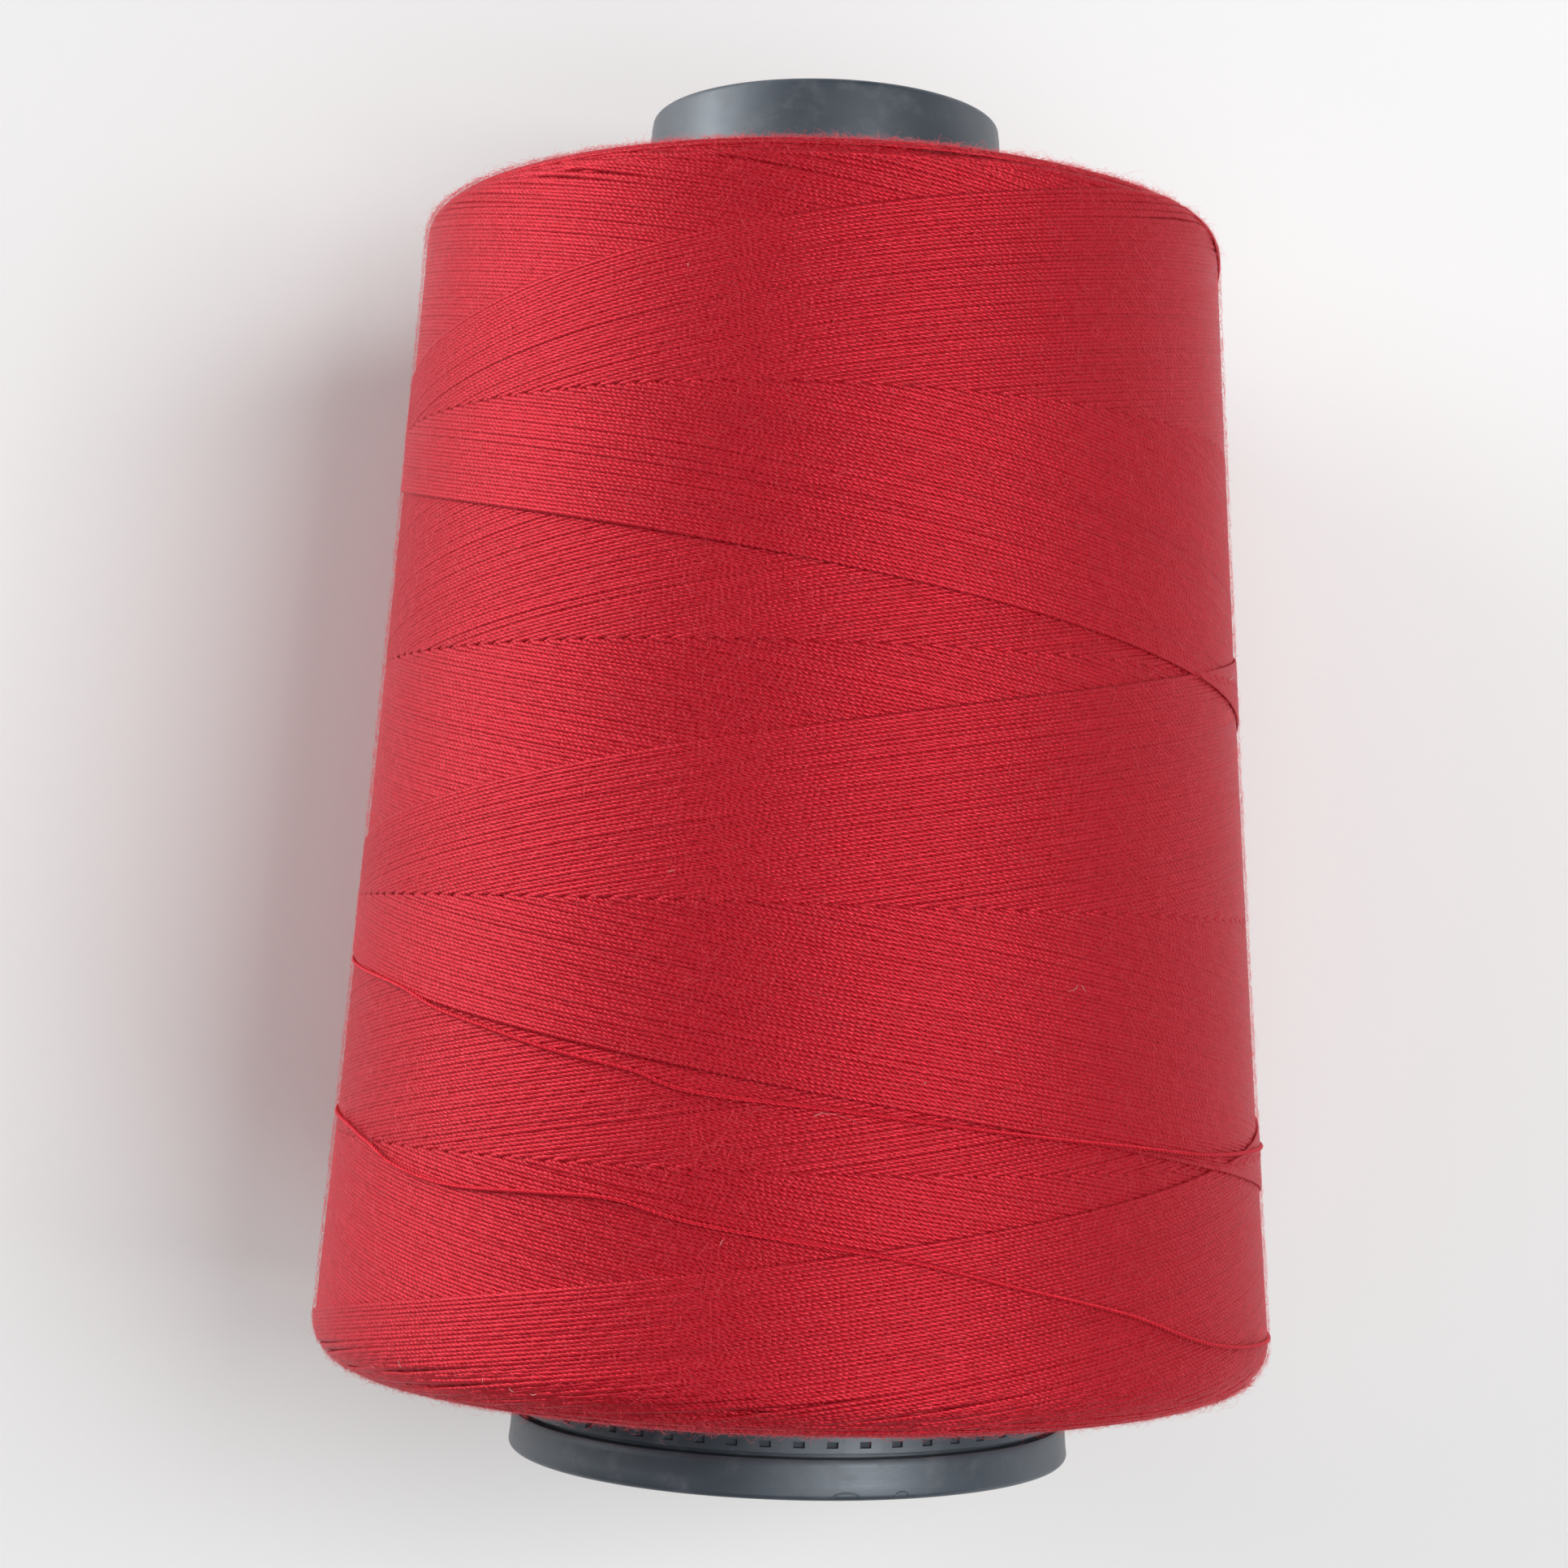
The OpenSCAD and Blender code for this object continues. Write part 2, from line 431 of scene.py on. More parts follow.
def bed_material():
    """The turns deep in the package, which only show as dark lines. Their dye is darker than the
    laid thread's, which is painted shade.
    """
    m = Nodes("deep_turns")
    place = m.add("ShaderNodeTexCoord").outputs["Object"]
    parts = m.add("ShaderNodeSeparateXYZ", {0: place})
    row_height = 0.3125 * MM
    rows = m.math("FRACT", m.math("MULTIPLY", parts.outputs[2], 1 / row_height))
    blotch = m.noise(place, 900.0)
    m.bump(m.math("SINE", m.math("MULTIPLY", rows, math.pi)), 0.1)
    # Darker red than the laid thread: painted shade on the deep turns.
    m.set(Base_Color=m.mix(blotch, rgb(0.20, 0.003, 0.008), rgb(0.34, 0.005, 0.013)))
    m.set(Roughness=0.9)
    return m.material


def fuzz_material():
    """Single fibres, paler towards their tips."""
    m = Nodes("fuzz")
    run, _ = m.run()
    m.set(Base_Color=m.mix(m.spread(run, 0, 1.5), rgb(0.80, 0.045, 0.07), rgb(0.9, 0.16, 0.19)))
    m.set(Roughness=0.5, Specular_IOR_Level=0.6)
    return m.material


def lint_material():
    """Pale dust."""
    m = Nodes("lint")
    run, _ = m.run()
    blotch = m.noise(m.vector(run, 0.0), 3.0)
    m.set(Base_Color=m.mix(blotch, rgb(0.8, 0.66, 0.62), rgb(0.9, 0.85, 0.8)))
    m.set(Roughness=0.6)
    return m.material


def core_material():
    """Moulded polypropylene, blue-grey, with the fine rings that its mould left and a few pale
    smudges. The floors of the recesses, whose tone is 1, are matt."""
    m = Nodes("core_plastic")
    run, way = m.run()
    ring_place = m.vector(m.math("MULTIPLY", way, 9.0), m.math("MULTIPLY", run, 26.0))
    rings = m.noise(ring_place, 1.0, 4.0, 0.7)
    place = m.add("ShaderNodeTexCoord").outputs["Object"]
    grain = m.noise(place, 5200.0, 3.0, 0.6)
    cloud = m.noise(place, 140.0, 3.0, 0.55)
    height = m.math("ADD", m.math("MULTIPLY", rings, 0.5), m.math("MULTIPLY", grain, 0.5))
    m.bump(height, 0.012)
    tint = m.mix(m.spread(cloud, 0.3, 0.7), rgb(0.032, 0.042, 0.054), rgb(0.048, 0.059, 0.074))
    smudge = m.spread(m.noise(place, 330.0, 5.0, 0.72), 0.50, 0.70)
    m.set(Base_Color=m.mix(m.math("MULTIPLY", smudge, 0.38), tint, rgb(0.13, 0.14, 0.155)))
    gloss = m.spread(rings, 0.3, 0.7, 0.34, 0.46)
    gloss = m.math("ADD", gloss, m.math("MULTIPLY", smudge, 0.14))
    matt = m.add("ShaderNodeAttribute", attribute_name="tone").outputs["Fac"]
    m.set(Roughness=m.math("ADD", gloss, m.math("MULTIPLY", matt, 0.5)))
    m.set(Specular_IOR_Level=0.8, Specular_Tint=rgb(0.84, 0.93, 1))
    return m.material


# ---------------------------------------------------------------- the core


def core_section():
    """The parts of the core's half section at the base: the rim, the point inside it, the wall up
    to the groove, and the groove."""
    base = arc([float(core_r(0)) - rim_r, rim_r], rim_r, -90, 0, 7)
    low = np.array([base_bore_r + chamfer, 0])
    lip, draft = 0.05, 0.02
    wall = [[float(core_r(z)), z] for z in np.linspace(1.2, groove_z - 0.06, 4)]
    inner_r = float(core_r(groove_z)) - groove_depth
    groove = [
        [float(core_r(groove_z)) - lip, groove_z],
        [inner_r, groove_z + draft],
        [inner_r, groove_z + groove_w - draft],
        [float(core_r(groove_z + groove_w)) - lip, groove_z + groove_w],
        [float(core_r(groove_z + groove_w)), groove_z + groove_w + lip],
    ]
    return base, low, wall, groove


core_gloss = core_material()


def add_core():
    """The core in one piece, with its section outside from base to nose and back down inside, and
    a pocket for each recess."""
    per_recess = 8
    columns = recess_count * per_recess
    half = recess_h / 2
    base, low, wall, groove = core_section()
    band = [[float(core_r(z)), z] for z in (recess_z - half, recess_z + half)]
    upper = [[float(core_r(z)), z] for z in np.linspace(recess_z + half + 0.5, core_h - 1.0, 24)]
    nose = arc([float(core_r(core_h)) - rim_r, core_h - rim_r], rim_r, 0, 90, 7)
    inside = [
        [nose_bore_r + chamfer, core_h],
        [nose_bore_r, core_h - chamfer],
        [nose_bore_r, core_h - chamfer - nose_bore_h],
        [float(core_r(core_h - 2 * nose_bore_h)) - core_wall, core_h - 2 * nose_bore_h],
    ]
    zs = np.linspace(core_h - 2 * nose_bore_h, 2 * base_bore_h, 14)[1:]
    inside += [[float(core_r(z)) - core_wall, z] for z in zs]
    inside += [[base_bore_r, base_bore_h + chamfer], [base_bore_r, chamfer]]
    section = np.array([low, *base, *wall, *groove, *band, *upper, *nose, *inside])
    band_row = 1 + len(base) + len(wall) + len(groove)
    first = math.radians(recess_turn)
    points, quads = lathe(section, columns, first - 1.5 * TURN / columns)
    rows = len(section)
    column, row = np.divmod(np.arange(len(quads)), rows)
    pocket = (row == band_row) & (column % per_recess < 3)
    # Each recess is three columns wide. Their outer faces go, and a pocket takes their place.
    mouth = quads[pocket]
    quads = quads[~pocket]
    made_points, made_faces = [points], [quads]
    start = len(points)
    angle = TURN / recess_count
    half_angle = recess_w / 2 / float(core_r(recess_z))
    for i in range(recess_count):
        for c in range(4):
            column_at = (i * per_recess + c) % columns
            for r_row in (band_row, band_row + 1):
                turn = first + i * angle + half_angle * (2 * c / 3 - 1)
                r, z = section[r_row]
                points[column_at * rows + r_row] = (r * math.sin(turn), -r * math.cos(turn), z)
    floor_share = 0.86
    ring = mouth.reshape(recess_count, 3, 4)
    floors = []
    for i in range(recess_count):
        outer_low = [ring[i, 0, 0], ring[i, 1, 0], ring[i, 2, 0], ring[i, 2, 1]]
        outer_high = [ring[i, 0, 3], ring[i, 1, 3], ring[i, 2, 3], ring[i, 2, 2]]
        rim = outer_low + outer_high[::-1]
        deep = points[rim].copy()
        flat = np.hypot(deep[:, 0], deep[:, 1])
        deep[:, :2] *= ((flat - recess_depth) / flat)[:, None]
        middle = deep.mean(0)
        deep = middle + (deep - middle) * floor_share
        made_points.append(deep)
        inner = [start + k for k in range(8)]
        start += 8
        for k in range(8):
            floors.append([rim[k], rim[(k + 1) % 8], inner[(k + 1) % 8], inner[k]])
        for k in range(3):
            floors.append([inner[k], inner[k + 1], inner[6 - k], inner[7 - k]])
    made_faces.append(np.array(floors))
    all_points = np.concatenate(made_points)
    all_faces = np.concatenate(made_faces)
    corner = all_points[all_faces.ravel()]
    way = np.arctan2(corner[:, 0], -corner[:, 1]) / TURN
    way = way.reshape(-1, 4)
    way[(way.max(1) - way.min(1)) > 0.5] %= 1
    uv = np.stack([corner[:, 2], way.ravel()], -1)
    matt = np.zeros(len(all_points))
    matt[len(points):] = 1
    core = mesh_piece("core", all_points, [all_faces], core_gloss, uv, matt)
    core.data.set_sharp_from_angle(angle=math.radians(38))
    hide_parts("cone_core")


add_core()


def add_gate_marks():
    """Two small raised crescents on the base rim's edge, where the mould was filled: the angle
    round the cone and the half width of each."""
    low_z, rise = 0.24, 0.42
    for number, (degrees, reach) in enumerate(((11.0, 1.15), (22.0, 0.6)), 1):
        t = np.linspace(0, math.pi, 17)
        away, z = reach * np.cos(t), low_z + rise * np.sin(t)
        a = math.radians(degrees) + away / core_base_r
        below = rim_r - np.minimum(z, rim_r)
        r = core_r(z) - rim_r + np.sqrt(rim_r**2 - below**2)
        centres = np.stack([r * np.sin(a), -r * np.cos(a), z], -1)
        out = unit(np.stack([np.sin(a), -np.cos(a), -below / rim_r], -1))
        points, quads, caps, uv = sweep(centres, out, 0.09, 0.07, 6)
        mark = mesh_piece(
            f"gate_mark_{number}", points, [quads, caps], core_gloss, uv,
            np.zeros(len(points)),
        )
        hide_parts("cone_core")


add_gate_marks()

# ---------------------------------------------------------------- the winding


def laid_depth(age, beta, s):
    """Depth of a laid turn's middle. Each turn lies on the one that it crosses, and the newest
    lie a thread's thickness over the turns beside them. beta is how far the turn is through the
    stripe between two herringbone lines, in its own direction, and age is 0 for the newest."""
    depth = laid_h * (0.5 + 2 * age + beta)
    middle = laid_h * (1 + 2 * age)
    end = smooth(1 - np.minimum(s, traverse - s) / end_zone)
    return depth * (1 - end) + middle * end - proud


def laid_grid():
    """Heights along the traverse where the thread gets a ring, with more at the herringbone."""
    ring_count, least_step = 252, 0.12
    even = np.linspace(0, traverse, ring_count)
    lines = pitch / 2 * np.arange(1, 5)
    near = (lines[:, None] + pitch * creep * np.array([-0.4, 0, 0.5, 0.9])).ravel()
    keep = np.abs(even[:, None] - near[None]).min(1) > least_step
    return np.sort(np.concatenate([even[keep], near]))


def stripe_share(s):
    """How far s is through its stripe, from 0 to 1, with the short climb at the lines."""
    share = np.mod(2 * s / pitch, 1)
    return np.where((share < creep) & (s > 1), 1 - share / creep * (1 - creep), share)


def whole_thread():
    """Centres, outward directions, tone and cycle of every ring, from the oldest turn to the
    newest. The turns end a little before or past where they should."""
    grid = laid_grid()
    reach_zone = 2.4
    half_turns = turns_up - creep / 2
    first = start_turn - (cycles - 1) * 2 * half_turns
    s_all, u_all, depth_all, cycle_all = [], [], [], []
    for j in range(cycles):
        age = (cycles - 1 - j) / cycles
        start = first + j * 2 * half_turns
        up_u = start + grid / traverse * half_turns
        down_u = start + half_turns + (traverse - grid[::-1]) / traverse * half_turns
        up_depth = laid_depth(age, stripe_share(grid), grid)
        down = grid[::-1]
        down_depth = laid_depth(age, 1 - stripe_share(down), down)
        reach = rng.uniform(-0.9, 1.3, 2)
        up_s, down_s = grid.copy(), down.copy()
        for s_line in (up_s, down_s):
            low = np.exp(-((s_line / reach_zone) ** 2))
            high = np.exp(-(((traverse - s_line) / reach_zone) ** 2))
            s_line -= low * reach[0]
            s_line += high * reach[1] * 0.45
        s_all += [up_s[:-1], down_s[:-1]]
        u_all += [up_u[:-1], down_u[:-1]]
        depth_all += [up_depth[:-1], down_depth[:-1]]
        cycle_all += [np.full(2 * len(grid) - 2, j)]
    s, u = np.concatenate(s_all), np.concatenate(u_all)
    depth, cycle = np.concatenate(depth_all), np.concatenate(cycle_all)
    near_end = smooth(1 - np.minimum(s, traverse - s) / end_zone)
    s = s + wander(len(s), 24, 0.021) + wander(len(s), 7, 0.008)
    depth = depth + wander(len(s), 20, 0.010) + near_end * wander(len(s), 40, 0.06)
    tone = 1 + wander(len(s), 60, 0.10) + wander(len(s), 6, 0.05)
    centres, out = on_package(s, 360 * u, depth)
    return centres, out, tone, cycle


def add_winding(material):
    """The whole laid thread, in pieces of equal length."""
    centres, out, tone, cycle = whole_thread()
    pieces = 8
    for p in range(pieces):
        first, last = cycles * p // pieces, cycles * (p + 1) // pieces
        rings = np.flatnonzero((cycle >= first) & (cycle < last))
        rings = np.arange(rings[0], min(rings[-1] + 2, len(centres)))
        sides = 6
        points, quads, caps, uv = sweep(centres[rings], out[rings], laid_w / 2, laid_h / 2, sides)
        piece = mesh_piece(
            f"winding_{p + 1}", points, [quads, caps], material, uv,
            np.repeat(tone[rings], sides),
        )
        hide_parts("thread_package")


def face_arcs(rows):
    """Short near-round turns where the thread turns back, one row of arcs after another. A row
    is its run and how deep it lies under the face's own turns."""
    lines = []
    for s, sunk in rows:
        at = rng.uniform(0, 360)
        end = at + 360
        while at < end:
            span = rng.uniform(60, 150)
            n = max(8, int(span / 4))
            t = np.linspace(0, 1, n)
            dip = (2 * t - 1) ** 4
            degrees = at + span * t
            drift = rng.normal(0, 0.25) * (t - 0.5) + rng.normal(0, 0.07)
            depth = laid_h / 2 - 0.05 + sunk + rng.uniform(0, 0.12) + 0.45 * dip
            lines.append((s + drift + 0.1 * np.sin(TURN * (t + rng.uniform())), degrees, depth))
            at += span - rng.uniform(18, 30)
    return lines


def face_rows(core_end, turn_back, side_end, sunk=0.0):
    """Rows of face turns from the core to past where the thread turns back, each with how deep
    it lies. They dip under the laid turns, which thin out there."""
    blend = 4
    away = math.copysign(1, side_end - core_end)
    rows = np.arange(min(core_end, side_end), max(core_end, side_end), face_step)
    under = under_depth * smooth(0.5 + away * (rows - turn_back) / blend)
    return list(zip(rows, sunk + under))


def add_face_turns(name, rows, material, painted_shade_tone=1.0):
    """The face turns of one end, in one piece. painted_shade_tone darkens the whole end's dye,
    which is painted shade.
    """
    made, faces, capped, uvs, tones = [], [], [], [], []
    count = 0
    sides = 6
    for s, degrees, depth in face_arcs(rows):
        centres, out = on_package(s, degrees, depth)
        points, quads, caps, uv = sweep(centres, out, laid_w / 2, laid_h / 2, sides)
        made.append(points)
        faces.append(quads + count)
        capped.append(caps + count)
        uvs.append((uv[: quads.size], uv[quads.size :]))
        tones.append(np.full(len(points), painted_shade_tone + rng.normal(0, 0.1)))
        count += len(points)
    piece = mesh_piece(
        name, np.concatenate(made), [np.concatenate(faces), np.concatenate(capped)], material,
        np.concatenate([u[0] for u in uvs] + [u[1] for u in uvs]), np.concatenate(tones),
    )
    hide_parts("thread_package")


def add_bed():
    """The closed body of deep turns under the laid thread. It is higher at the nose's edge."""
    edge_rise = 0.45
    keep = np.arange(0, len(outline), 4)
    edge = np.exp(-(((outline_run[keep] - traverse + 1) / 2.5) ** 2))
    depth = bed_depth - edge_rise * edge
    sunk = outline[keep] - outline_normal[keep] * depth[:, None]
    sunk[:, 0] = np.maximum(sunk[:, 0], core_r(sunk[:, 1]) + 0.05)
    points, quads = lathe(sunk, 180)
    bed = mesh_piece("deep_turns", points, [quads], bed_material())
    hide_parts("thread_package")


laid_material = thread_material("laid_thread", 1.56)
add_winding(laid_material)
base_rows = face_rows(outline_run[0] + 0.2, 1.0, 8.0)
nose_rows = face_rows(outline_run[-1] - 0.1, traverse - 1.1, traverse - 7.0, 0.11)
# The base turns' dye is darkened to 0.72: painted shade on the package's underside.
add_face_turns("base_turns", base_rows, laid_material, 0.72)
add_face_turns("nose_turns", nose_rows, laid_material)
add_bed()

# ---------------------------------------------------------------- the loose turns

# Route of the loose turns: angle round the cone and height.
wrap_route = np.array([
    [-110, 43], [-90, 41.5], [-69, 40.2], [-56, 39.1], [-47, 37.5], [-39, 36.4],
    [-29, 34.9], [-19, 33.7], [-12, 32.3], [5, 31.2], [24, 29.7], [39, 28.7],
    [56, 27.6], [81, 27.4], [120, 27.5], [160, 27.9], [200, 28.4], [240, 28.6],
    [284, 28], [299, 26.7], [307, 25.2], [318, 24.2], [331, 24.3], [340, 24.2],
    [349, 22.8], [370, 20.7], [384, 18.5], [398, 16.2], [414, 13], [436, 11.6],
    [470, 11.2], [510, 10.9], [550, 10.7]])


def spline(route, steps):
    """Catmull-Rom curve through a route, steps points to each stretch."""
    p = np.concatenate([route[:1], route, route[-1:]])
    t = np.linspace(0, 1, steps, endpoint=False)[:, None]
    made = []
    for i in range(len(route) - 1):
        p0, p1, p2, p3 = p[i : i + 4]
        made.append(0.5 * (2 * p1 + (p2 - p0) * t + (2 * p0 - 5 * p1 + 4 * p2 - p3) * t**2
                           + (3 * p1 - p0 - 3 * p2 + p3) * t**3))
    return np.concatenate([*made, route[-1:]])


def even_points(points, step):
    """The same curve with a point every step, and the run of each."""
    run = np.concatenate([[0], np.cumsum(np.linalg.norm(np.diff(points, axis=0), axis=1))])
    at = np.linspace(0, run[-1], int(run[-1] / step))
    return np.stack([np.interp(at, run, points[:, k]) for k in range(3)], -1), at


def surface_depth(s, degrees):
    """Depth of the top of the laid turns below the package's smooth outline."""
    turns = degrees / 360 + 1 - start_turn
    rising, falling = np.mod(turns - s / pitch, 1), np.mod(turns + s / pitch, 1)
    return laid_h * (rising + falling) - proud


def slide(values, reach, pick):
    """The pick, min or mean, of the values within reach of each."""
    padded = np.pad(values, reach, mode="edge")
    return pick(np.lib.stride_tricks.sliding_window_view(padded, 2 * reach + 1), axis=-1)


def loose_centres():
    """The loose turns lie on the laid ones, and step over the edges of the stripes. Both ends go
    in under the laid turns."""
    end_span = 26
    q = spline(wrap_route, 60)
    degrees, z = q.T
    side = outline_run > 0
    s = np.interp(z, outline[side, 1], outline_run[side])
    per_mm = len(q) / (TURN * package_base_r * np.ptp(degrees) / 360)
    depth = slide(surface_depth(s, degrees), int(1.0 * per_mm), np.min)
    depth = slide(depth, int(1.5 * per_mm), np.mean)
    first_end = 1 - smooth((degrees - degrees[0] - 6) / end_span)
    last_end = smooth((degrees - 520) / end_span)
    ends = np.maximum(first_end, last_end)
    lift = wrap_lift * (1 - ends) - 0.6 * thread_d * ends
    lift -= limb_sink * np.exp(-((np.cos(np.radians(degrees)) / 0.3) ** 2))
    points, _ = on_package(s, degrees, depth - lift - thread_d / 2)
    return points


def add_loose_strand(material):
    """The three plies of the loose turns, each its own twisted tube."""
    centres, at = even_points(loose_centres(), twist_lay / 12)
    out = unit(centres * np.array([1, 1, 0]))
    along = unit(np.gradient(centres, axis=0))
    across = unit(np.cross(out, along))
    out = np.cross(along, across)
    ply_r = strand_d * 0.27
    helix_r = strand_d * 0.25
    made, faces, capped, uv_sides, uv_caps = [], [], [], [], []
    count = 0
    for ply in range(3):
        turn = (-TURN * at / twist_lay + TURN * ply / 3)[:, None]
        away = out * np.cos(turn) + across * np.sin(turn)
        sides = 6
        points, quads, caps, uv = sweep(centres + away * helix_r, away, ply_r, ply_r, sides)
        made.append(points)
        faces.append(quads + count)
        capped.append(caps + count)
        uv_sides.append(uv[: quads.size])
        uv_caps.append(uv[quads.size :])
        count += len(points)
    points = np.concatenate(made)
    piece = mesh_piece(
        "loose_strand", points, [np.concatenate(faces), np.concatenate(capped)], material,
        np.concatenate(uv_sides + uv_caps), np.ones(len(points)),
    )
    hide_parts("loose_wrap")


# The loose strand's dye is brightened by lift 1.2 over the laid thread's, which is painted light
# on the strand that stands proud.
add_loose_strand(thread_material("loose_thread", 0.9, plies=2, ply_bump=0.02, lift=1.2, fluff=0.4))

# ---------------------------------------------------------------- fuzz and lint


def hairs(name, s, degrees, length, lift, bearing, material, thick=0.011):
    """Thin curved fibres that stand off the package: each starts in the surface at run s and an
    angle round the cone, leaves at its bearing, and rises by its lift."""
    n, steps, sides = len(s), 4, 3
    root, out = on_package(s, degrees, np.full(n, 0.1))
    a = np.radians(degrees)
    round_way = np.stack([np.cos(a), np.sin(a), 0 * a], -1)
    up_way = np.cross(out, round_way)
    ahead = round_way * np.cos(bearing)[:, None] + up_way * np.sin(bearing)[:, None]
    beside = np.cross(out, ahead)
    curl = rng.normal(0, 0.5, n)
    t = np.linspace(0, 1, steps)
    path = (
        root[:, None]
        + ahead[:, None] * (length[:, None] * t)[..., None]
        + beside[:, None] * (length[:, None] * curl[:, None] * t**2)[..., None]
        + out[:, None] * (lift[:, None] * np.sin(t * rng.uniform(1.2, 2.6, (n, 1))))[..., None]
    )
    # Fibres follow the round surface, not the straight line that leaves it.
    sag = (length[:, None] * t * np.cos(bearing)[:, None]) ** 2 / (2 * package_mean_r)
    path -= out[:, None] * sag[..., None]
    angle = TURN * np.arange(sides) / sides
    size = thick * (1 - 0.6 * t)
    points = (
        path[:, :, None]
        + out[:, None, None] * (size[:, None] * np.cos(angle))[None, :, :, None]
        + beside[:, None, None] * (size[:, None] * np.sin(angle))[None, :, :, None]
    )
    h, i, k = np.meshgrid(np.arange(n), np.arange(steps - 1), np.arange(sides), indexing="ij")
    base = h * steps * sides
    p, q = base + i * sides + k, base + i * sides + (k + 1) % sides
    quads = np.stack([p, p + sides, q + sides, q], -1).reshape(-1, 4)
    first = np.arange(n)[:, None] * steps * sides
    caps = np.concatenate([first + [0, 1, 2], first + (steps - 1) * sides + [2, 1, 0]])
    run = (length[:, None] * t)[h, i]
    run_next = (length[:, None] * t)[h, i + 1]
    u = np.stack([run, run_next, run_next, run], -1).reshape(-1, 4)
    uv = np.concatenate([np.stack([u, 0 * u], -1).reshape(-1, 2), np.zeros((caps.size, 2))])
    return mesh_piece(name, points.reshape(-1, 3), [quads, caps], material, uv)


def add_fuzz():
    """Fine fibres all over the package, and more of them at its two edges."""
    material = fuzz_material()
    side_pieces, count = 8, 8000
    for part in range(side_pieces):
        s = rng.uniform(-2, traverse + 2, count)
        degrees = rng.uniform(0, 360, count)
        length = rng.gamma(4, 0.18, count).clip(0.3, 2.6)
        lift = rng.gamma(2, 0.04, count).clip(0.03, 0.45) + 0.08
        bearing = rng.normal(0, 1.1, count) + math.pi * rng.integers(0, 2, count)
        piece = hairs(f"fuzz_{part + 1}", s, degrees, length, lift, bearing, material)
        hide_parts("thread_package")
    # The edges, where the thread turns back, are hairier.
    for name, middle in (
        ("base_fuzz_1", -0.8), ("base_fuzz_2", -0.8),
        ("nose_fuzz_1", traverse + 0.6), ("nose_fuzz_2", traverse + 0.6),
    ):
        s = rng.normal(middle, 1.6, count)
        degrees = rng.uniform(0, 360, count)
        length = rng.gamma(3, 0.12, count).clip(0.2, 1.6)
        lift = length * rng.uniform(0.2, 0.8, count)
        bearing = rng.uniform(0, TURN, count)
        piece = hairs(name, s, degrees, length, lift, bearing, material)
        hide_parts("thread_package")


add_fuzz()


def add_lint():
    """Pale dust and ends of other thread that have settled on the package: the angle round the
    cone, the height, the length, the bearing and the lift of each."""
    bits = np.array([
        [32.4, 40.8, 0.9, 4.3, 0.15], [33.0, 40.8, 0.6, 5.0, 0.1], [1.4, 30.8, 1.7, 0.9, 0.35],
        [21.6, 35.8, 0.25, 0.3, 0.05], [13.3, 33.3, 0.2, 1.2, 0.05], [-15.8, 48.3, 0.5, 0.6, 0.1],
        [-8.1, 21.3, 0.5, 0.9, 0.1], [-17.3, 94.5, 0.25, 1.4, 0.05], [-24, 93.7, 0.3, 0.2, 0.05],
        [-53.6, 9.2, 0.4, 1.2, 0.1], [-34.7, 9.9, 0.4, 0.4, 0.1], [-30.7, 9.5, 0.5, 2.0, 0.15],
        [-27.9, 9.5, 0.4, 2.8, 0.1], [-47.5, 9.9, 0.5, 1.1, 0.1], [-25, 31, 0.2, 0, 0.05],
        [70, 66, 1.1, 0.7, 0.3], [128, 82, 0.9, 2.5, 0.2], [175, 24, 1.4, 1.1, 0.3],
        [212, 58, 0.8, 3.4, 0.2], [251, 77, 1.2, 5.2, 0.25]])
    degrees, z, length, bearing, lift = bits.T
    side = outline_run > 0
    s = np.interp(z, outline[side, 1], outline_run[side])
    material = lint_material()
    piece = hairs("lint", s, degrees, length, lift + 0.12, bearing, material, 0.022)
    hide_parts("thread_package")


add_lint()

# ---------------------------------------------------------------- stage and light


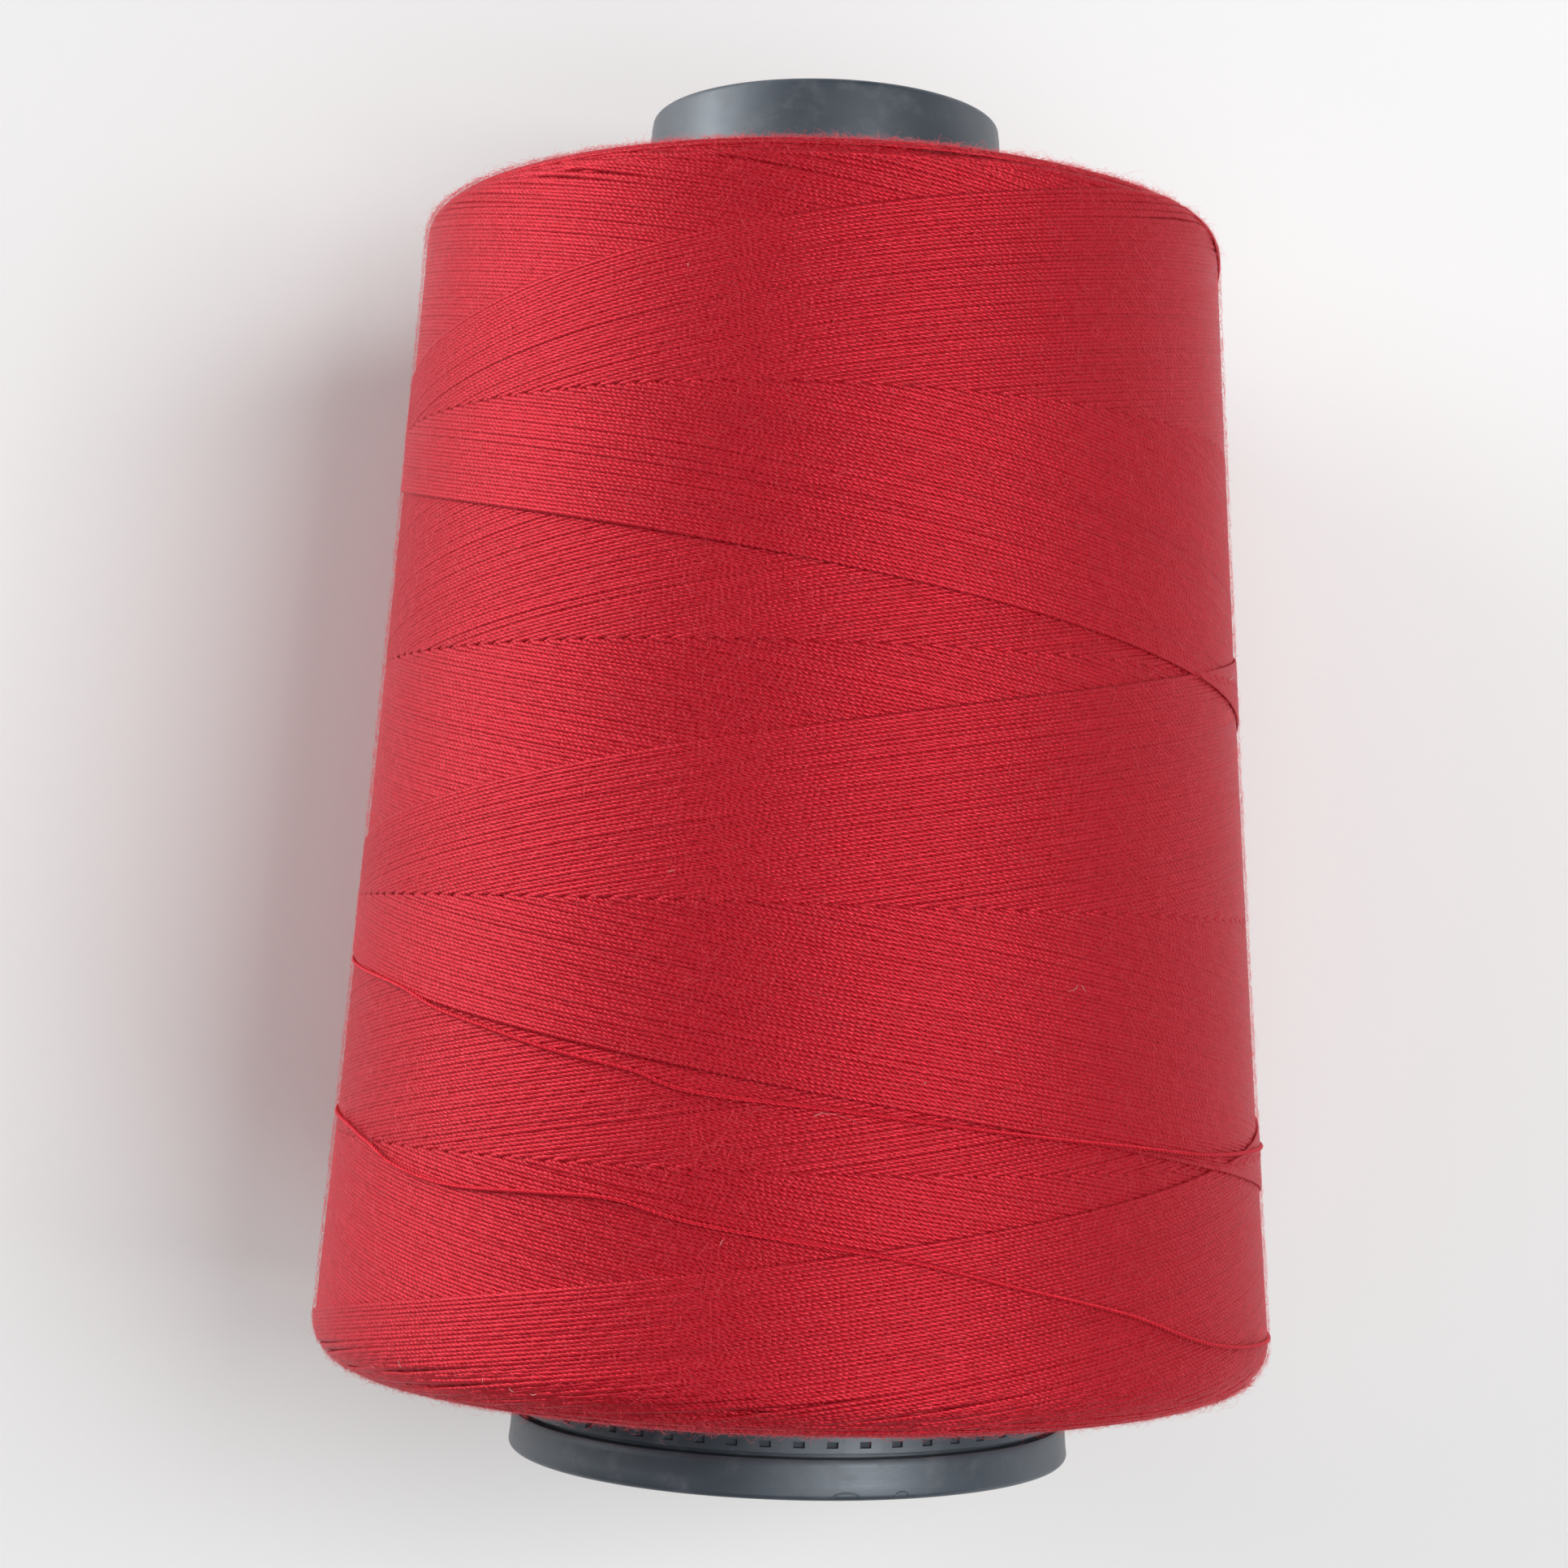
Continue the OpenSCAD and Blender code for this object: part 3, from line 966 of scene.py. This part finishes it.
def add_floor():
    """The pale table that the cone lies on, seen from above. It touches the package along its
    back. It is clear from behind and casts no shadow, so that views from behind show the cone."""
    low, high = Vector((0, 40.9, 10.6)) * MM, Vector((0, 34.75, 103)) * MM
    along = (high - low).normalized()
    side = Vector((1, 0, 0))
    middle = (low + high) / 2
    reach = 3.0
    mesh = bpy.data.meshes.new("floor")
    corners = [middle + side * x * reach + along * z * reach for x, z in
               ((-1, -1), (1, -1), (1, 1), (-1, 1))]
    mesh.from_pydata(corners, [], [(0, 1, 2, 3)])
    floor = bpy.data.objects.new("floor", mesh)
    bpy.context.scene.collection.objects.link(floor)
    m = Nodes("floor")
    place = m.add("ShaderNodeTexCoord").outputs["Object"]
    m.set(Base_Color=m.mix(m.noise(place, 6.0), rgb(0.83, 0.84, 0.84), rgb(0.85, 0.86, 0.86)))
    m.set(Roughness=0.9, Specular_IOR_Level=0.1)
    clear = m.add("ShaderNodeBsdfTransparent")
    back = m.add("ShaderNodeNewGeometry").outputs["Backfacing"]
    pick = m.add("ShaderNodeMixShader", {0: back, 1: m.shader.outputs[0], 2: clear.outputs[0]})
    out = next(n for n in m.tree.nodes if n.type == "OUTPUT_MATERIAL")
    m.tree.links.new(pick.outputs[0], out.inputs["Surface"])
    mesh.materials.append(m.material)
    floor.visible_shadow = False


def add_light(name, degrees, rise, watts, size=0.42, distance=0.95):
    """A soft square light that faces the middle of the cone, in metres and watts."""
    data = bpy.data.lights.new(name, "AREA")
    data.shape = "SQUARE"
    data.size = size
    data.energy = watts
    light = bpy.data.objects.new(name, data)
    a, e = math.radians(degrees), math.radians(rise)
    away = Vector((math.sin(a) * math.cos(e), -math.cos(a) * math.cos(e), math.sin(e)))
    middle = Vector((0, 0, 0.057))
    light.location = middle + away * distance
    light.rotation_mode = "QUATERNION"
    light.rotation_quaternion = away.to_track_quat("Z", "Y")
    bpy.context.scene.collection.objects.link(light)


def add_world():
    """An even white room."""
    world = bpy.data.worlds.new("world")
    world.use_nodes = True
    shade = next(n for n in world.node_tree.nodes if n.type == "BACKGROUND")
    shade.inputs["Color"].default_value = rgb(1, 1, 1)
    shade.inputs["Strength"].default_value = 0.09
    bpy.context.scene.world = world


add_floor()
# A window on the left, a broad soft light in front that is strongest on the right, and a light
# behind the table for the views from behind.
add_light("left", -95, 20, 4.7)
add_light("left_front", -72, 20, 3.4)
add_light("left_high", -72, 50, 1.4)
add_light("left_far", -48, 22, 0.7)
add_light("front", 0, 12, 0.45)
add_light("right", 28, 5, 5.4)
add_light("right_far", 50, 5, 1.0)
add_light("front_low", 0, -20, 0.8)
add_light("right_low", 26, -24, 1.1)
add_light("right_far_low", 50, -24, 0.6)
add_light("back", 180, 15, 1.6, 0.5, 1.0)
add_world()
bpy.context.scene.view_settings.view_transform = "Standard"
